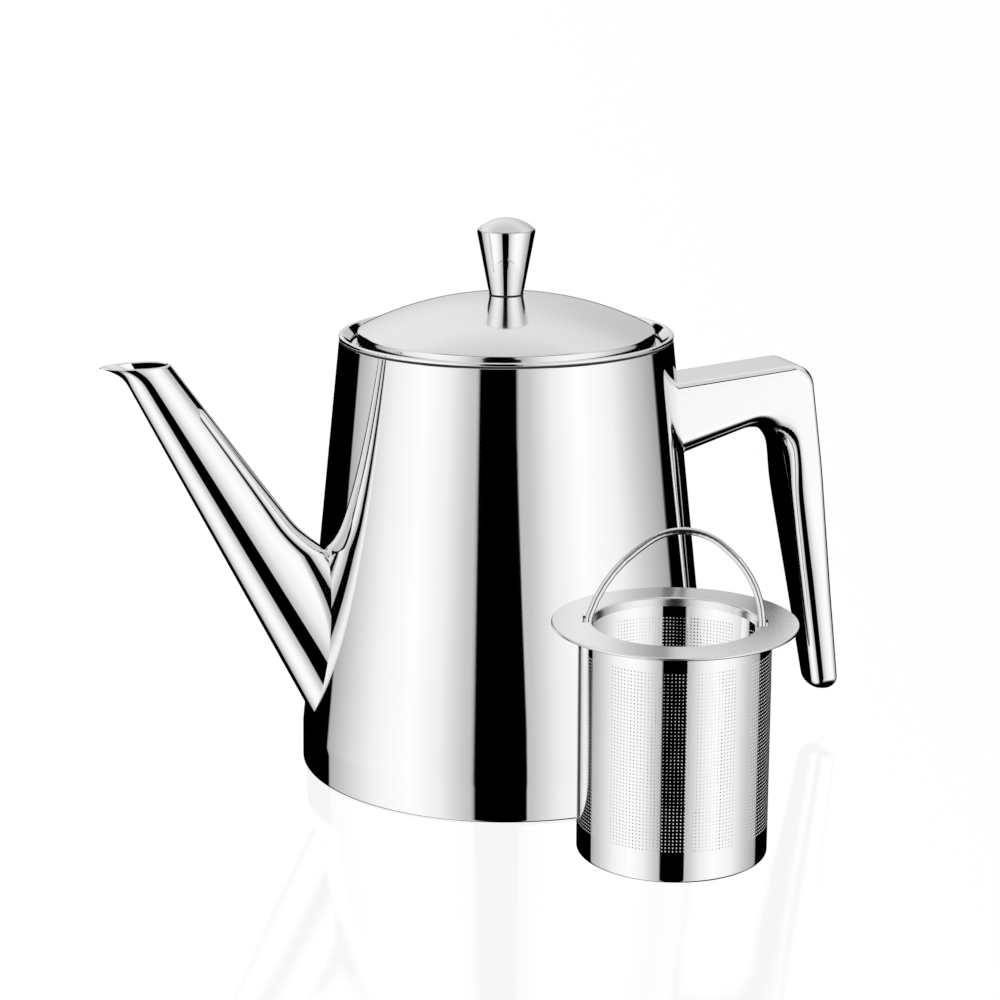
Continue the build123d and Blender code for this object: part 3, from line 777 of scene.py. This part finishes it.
def basket_floor():
    low, high = node_box("basket_floor")
    rim_r = BASKET_R - BASKET_SHEET
    disc_r, pitch, pan_hole_r = 21.0, 0.98, 19.8
    across = 2 * math.ceil(disc_r / pitch)

    def place(u, v, side):
        return turned(((u - across / 2) * pitch, (v - across / 2) * pitch,
                       low[2] + BASKET_SHEET * (1 - side)))

    def inside(i, j):
        return math.hypot(i + 0.5 - across / 2, j + 0.5 - across / 2) * pitch < disc_r - 0.7
    sieve = perforated("basket_sieve", across, across, HOLE_R, place, inside)
    stand(sieve, MIRROR, "infuser", "polished_steel", "basket_floor")
    pan = lathe("basket_pan", rounded(
        [(pan_hole_r, low[2]), (rim_r, low[2]), (rim_r, high[2]), (rim_r - BASKET_SHEET, high[2]),
         (rim_r - BASKET_SHEET, low[2] + BASKET_SHEET), (pan_hole_r, low[2] + BASKET_SHEET)],
        [0, 0.8, 0, 0, 0.4, 0]), centre=BASKET_CENTRE[:2])
    stand(pan, MIRROR, "infuser", "polished_steel", "basket_floor")


def flange():
    lip_r, top = FLANGE_HOLE_R + FLANGE_LIP_T, node_box("basket_flange")[1][2]
    ring = lathe("flange_ring", rounded(
        [(FLANGE_HOLE_R, BASKET_H - FLANGE_LIP_H), (lip_r, BASKET_H - FLANGE_LIP_H),
         (lip_r, BASKET_H), (FLANGE_R, BASKET_H), (FLANGE_R, top), (FLANGE_HOLE_R, top)],
        [0, 0, 0.4, 0.38, 0.38, 0.7]), 288, BASKET_CENTRE[:2])
    for side in (1, -1):
        ends = (side * SLOT_INNER_R, side * SLOT_END_R)
        corners = [(x, y, BASKET_H + z) for z in (-4, 4)
                   for x, y in ((ends[0], -SLOT_HALF_W), (ends[1], -SLOT_HALF_W),
                                (ends[1], SLOT_HALF_W), (ends[0], SLOT_HALF_W))]
        box = [[0, 3, 2, 1], [4, 5, 6, 7], [0, 1, 5, 4], [1, 2, 6, 5], [2, 3, 7, 6], [3, 0, 4, 7]]
        if side < 0:
            box = [face[::-1] for face in box]
        cut(ring, make_piece(f"slot_{side}", turned(corners), box))
    stand(ring, SATIN, "infuser", "satin_steel", "basket_flange")


def bail():
    half_w, pin_end, leg_h = 23.1, 25.1, 3.2
    arch = [(-pin_end, 0), (-half_w, 0), (-half_w, leg_h), (-19.4, 15.0), (2.5, 32.4),
            (22.6, 14.8), (half_w, leg_h), (half_w, 0), (pin_end, 0)]
    path = np.array(rounded(arch, [0, 0.9, 8.0, 36.0, 16.0, 26.0, 8.0, 0.9, 0], closed=False))
    lengths = run_lengths(path)
    ahead = np.gradient(path, lengths, axis=0)
    ahead /= np.linalg.norm(ahead, axis=1)[:, None]
    lean = math.radians(BAIL_LEAN)
    rows = []
    for (u, v), (du, dv) in zip(path, ahead):
        ring = []
        for t in np.linspace(0, 2 * math.pi, 24, endpoint=False):
            across, side = WIRE_R * math.cos(t), WIRE_R * math.sin(t)
            height = v + du * across
            ring.append((u - dv * across, side * math.cos(lean) + height * math.sin(lean),
                         PIVOT_Z + height * math.cos(lean) - side * math.sin(lean)))
        rows.append(ring)
    wire = grid_piece("bail_wire", turned(rows), True, caps=(0, -1), sharp_deg=50)
    stand(wire, WIRE, "bail", "satin_steel", "bail")


def bail_eyes():
    """The two rings welded inside the basket's mouth that carry the bail's pins."""
    for side, name in ((1, "right"), (-1, "left")):
        ring = lathe(f"eye_{name}", rounded(
            [(EYE_BORE_R, EYE_INNER_U), (EYE_R, EYE_INNER_U), (EYE_R, EYE_OUTER_U),
             (EYE_BORE_R, EYE_OUTER_U)], [0.1, 0.25, 0.25, 0.1]), 48)
        for vertex in ring.data.vertices:
            x, y, z = vertex.co / MM
            vertex.co = Vector(turned((side * z, side * x, PIVOT_Z + y))) * MM
        stand(ring, INNER, "infuser", "inner_steel", f"bail_eye_{name}")


# ---- studio --------------------------------------------------------------------------
CAMERA_TURN = 18.0          # degrees from the model's +Y axis towards +X
CAMERA_TILT = 13.96         # degrees below level
CAMERA_PLACE = (-221.6, -676.2, 254.6)
LENS = 89.4


def camera():
    data = bpy.data.cameras.new("camera")
    data.lens = LENS
    eye = bpy.data.objects.new("camera", data)
    eye.location = Vector(CAMERA_PLACE) * MM
    eye.rotation_euler = (math.radians(90 - CAMERA_TILT), 0, math.radians(-CAMERA_TURN))
    bpy.context.scene.collection.objects.link(eye)
    bpy.context.scene.camera = eye


def floor():
    size, height = 6.0, -0.0002
    mesh = bpy.data.meshes.new("floor")
    mesh.from_pydata([(x, y, height) for x, y in ((-size, -size), (size, -size), (size, size),
                                                  (-size, size))], [], [[0, 1, 2, 3]])
    ground = bpy.data.objects.new("floor", mesh)
    bpy.context.scene.collection.objects.link(ground)
    paint = bpy.data.materials.new("floor_white")
    paint.use_nodes = True
    nodes, links = paint.node_tree.nodes, paint.node_tree.links
    nodes.clear()
    glow = nodes.new("ShaderNodeEmission")
    glow.inputs["Color"].default_value = (1.0, 1.0, 1.0, 1)
    glow.inputs["Strength"].default_value = 1.04
    sheen = nodes.new("ShaderNodeBsdfGlossy")
    sheen.inputs["Color"].default_value = (1.0, 1.0, 1.0, 1)
    sheen.inputs["Roughness"].default_value = 0.08
    mix = nodes.new("ShaderNodeMixShader")
    mix.inputs["Fac"].default_value = 0.12
    output = nodes.new("ShaderNodeOutputMaterial")
    links.new(glow.outputs["Emission"], mix.inputs[1])
    links.new(sheen.outputs["BSDF"], mix.inputs[2])
    links.new(mix.outputs["Shader"], output.inputs["Surface"])
    mesh.materials.append(paint)
    ground.visible_glossy = False


def studio_light():
    """Tall white soft boxes to the left and right, a narrow dark gap in front, dark flags
    behind on both sides and a soft light overhead, as one sky. The backdrop is white."""
    world = bpy.data.worlds.new("studio")
    bpy.context.scene.world = world
    world.use_nodes = True
    nodes, links = world.node_tree.nodes, world.node_tree.links
    nodes.clear()
    place = nodes.new("ShaderNodeTexCoord")
    turn = nodes.new("ShaderNodeMapping")
    turn.vector_type = "POINT"
    turn.inputs["Rotation"].default_value = (0, 0, math.radians(CAMERA_TURN))
    links.new(place.outputs["Generated"], turn.inputs["Vector"])
    split = nodes.new("ShaderNodeSeparateXYZ")
    links.new(turn.outputs["Vector"], split.inputs["Vector"])

    def calc(operation, *values):
        node = nodes.new("ShaderNodeMath")
        node.operation = operation
        for socket, value in zip(node.inputs, values):
            if isinstance(value, (int, float)):
                socket.default_value = value
            else:
                links.new(value, socket)
        return node.outputs["Value"]
    # Angle round the object from the camera's own side, in degrees, growing to the right.
    backwards = calc("MULTIPLY", split.outputs["Y"], -1.0)
    bearing = calc("MULTIPLY", calc("ARCTAN2", split.outputs["X"], backwards), 180 / math.pi)

    def ramp(value, low, high, stops):
        node = nodes.new("ShaderNodeValToRGB")
        links.new(calc("DIVIDE", calc("SUBTRACT", value, low), high - low), node.inputs["Fac"])
        for spare in list(node.color_ramp.elements)[1:]:
            node.color_ramp.elements.remove(spare)
        for number, (where, level) in enumerate(stops):
            place = (where - low) / (high - low)
            stop = (node.color_ramp.elements[0] if number == 0
                    else node.color_ramp.elements.new(place))
            stop.position = place
            stop.color = (level, level, level, 1)
        return node.outputs["Color"]

    def blend(share, one, other):
        node = nodes.new("ShaderNodeMix")
        node.data_type = "RGBA"
        for name, value in (("Factor", share), ("A", one), ("B", other)):
            socket = node.inputs[name]
            if isinstance(value, tuple):
                socket.default_value = value
            else:
                links.new(value, socket)
        return node.outputs["Result"]

    def between(value, low, high):
        node = nodes.new("ShaderNodeMapRange")
        node.interpolation_type = "SMOOTHSTEP"
        node.inputs["From Min"].default_value = low
        node.inputs["From Max"].default_value = high
        links.new(value, node.inputs["Value"])
        return node.outputs["Result"]

    boxes = ramp(bearing, -180.0, 180.0, [
        (-180, 0.0), (-118, 0.0), (-117.5, 0.45), (-98, 0.72), (-78, 0.98), (-55, 1.09),
        (-38, 0.96), (-24, 0.65), (-18.5, 0.58), (-17.5, 0.0), (6.5, 0.0), (7.5, 0.56),
        (14, 0.60), (29, 0.93), (47, 1.09), (72, 0.98), (91, 0.68), (116, 0.40), (117, 0.0)])
    # The dark gap in front widens to the right below table height.
    lower = calc("MAXIMUM", calc("MULTIPLY", split.outputs["Z"], -20.0), 0.0)
    half_gap = calc("ADD", calc("MINIMUM", lower, 2.4), 3.25)
    off_gap = calc("SUBTRACT", calc("ABSOLUTE", calc("SUBTRACT", bearing, half_gap)), half_gap)
    boxes = blend(between(off_gap, -0.5, 0.5), (0.0, 0.0, 0.0, 1), boxes)
    upper_left = ramp(split.outputs["Z"], 0.0, 1.0, [
        (0.0, 0.72), (0.25, 0.84), (0.45, 0.92), (0.72, 0.92), (0.88, 0.74), (1.0, 0.70)])
    upper_right = ramp(split.outputs["Z"], 0.0, 1.0, [
        (0.0, 0.55), (0.3, 0.60), (0.5, 0.66), (0.65, 0.80), (0.8, 0.86), (0.9, 0.74),
        (1.0, 0.70)])
    ceiling = blend(between(split.outputs["X"], -0.25, 0.35), upper_left, upper_right)
    # The ceiling light stays above the boxes in front, comes down behind them over the dark
    # flags, and reaches down to the table straight behind the object.
    edge = calc("SUBTRACT", ramp(calc("ABSOLUTE", bearing), 0.0, 180.0, [
        (0, 0.95), (90, 0.95), (118, 0.50), (156, 0.46), (160, 0.03), (180, 0.03)]), 0.1)
    over = between(calc("SUBTRACT", split.outputs["Z"], edge), 0.0, 0.05)
    sky = blend(over, boxes, ceiling)
    # A thin dark joint between the front boxes and the ceiling.
    joint = between(calc("ABSOLUTE", calc("SUBTRACT", split.outputs["Z"], 0.86)), 0.035, 0.055)
    aside = between(calc("ABSOLUTE", bearing), 80.0, 100.0)
    sky = blend(calc("MAXIMUM", joint, aside), (0.0, 0.0, 0.0, 1), sky)
    # No light comes from straight below, or from low on the right.
    leaning = calc("ADD", split.outputs["Z"], calc("MULTIPLY", split.outputs["X"], -0.35))
    under = between(leaning, -0.98, -0.78)
    sky = blend(under, (0.0, 0.0, 0.0, 1), sky)

    lit = nodes.new("ShaderNodeBackground")
    links.new(sky, lit.inputs["Color"])
    plain = nodes.new("ShaderNodeBackground")
    plain.inputs["Color"].default_value = (1, 1, 1, 1)
    path = nodes.new("ShaderNodeLightPath")
    choose = nodes.new("ShaderNodeMixShader")
    links.new(path.outputs["Is Camera Ray"], choose.inputs["Fac"])
    links.new(lit.outputs["Background"], choose.inputs[1])
    links.new(plain.outputs["Background"], choose.inputs[2])
    output = nodes.new("ShaderNodeOutputWorld")
    links.new(choose.outputs["Shader"], output.inputs["Surface"])


# ---- build ---------------------------------------------------------------------------
pot_body()
base_disc()
mouth_ring()
spout()
handle()
lid()
knob()
for panel_number in range(PANELS):
    basket_panel(panel_number)
basket_frame()
basket_floor()
flange()
bail()
bail_eyes()
for node in ("handle_saddle", "knob_boss", "knob_screw", "knob_washer"):
    cad = frame["nodes"][node]
    cad.data.materials.clear()
    cad.data.materials.append(INNER)
camera()
floor()
studio_light()
bpy.context.scene.view_settings.view_transform = "Standard"
